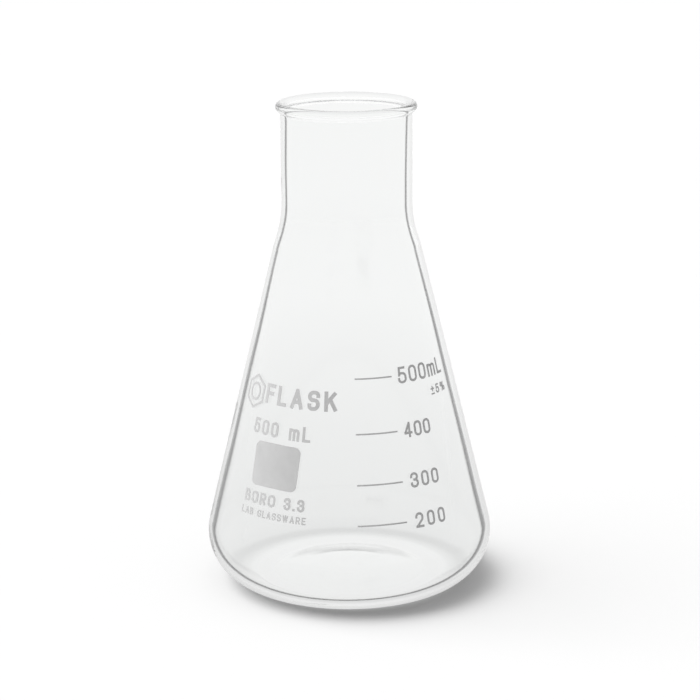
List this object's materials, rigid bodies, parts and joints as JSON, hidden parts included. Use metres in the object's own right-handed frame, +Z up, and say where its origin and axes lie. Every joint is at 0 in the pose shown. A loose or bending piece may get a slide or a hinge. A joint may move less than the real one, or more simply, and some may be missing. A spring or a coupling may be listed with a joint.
{
  "type": "erlenmeyer flask",
  "caption": "Wide-mouth conical flask of clear borosilicate glass with a beaded rim, a pushed-up base and printed white enamel graduations, capacity mark and writing patch.",
  "frame": {"origin": "on the flask's axis, in the plane that the foot ring rests on", "axes": "+Z up along the flask's axis out of the mouth; the printed side faces -Y, with the graduations towards +X and the writing patch towards -X"},
  "size_m": [0.1042, 0.1042, 0.177],
  "materials": {
    "borosilicate_glass": "clear, fire-polished",
    "white_enamel": "fired white screen-printed enamel, matt"
  },
  "bodies": {
    "root": {"capacity_mark": "white_enamel", "description_mark": "white_enamel", "emblem_mark": "white_enamel", "flask_body": "borosilicate_glass", "glass_type_mark": "white_enamel", "graduation_line_200": "white_enamel", "graduation_line_300": "white_enamel", "graduation_line_400": "white_enamel", "graduation_line_500": "white_enamel", "graduation_number_200": "white_enamel", "graduation_number_300": "white_enamel", "graduation_number_400": "white_enamel", "graduation_number_500": "white_enamel", "name_mark": "white_enamel", "tolerance_mark": "white_enamel", "writing_patch": "white_enamel"}
  },
  "joints": []
}
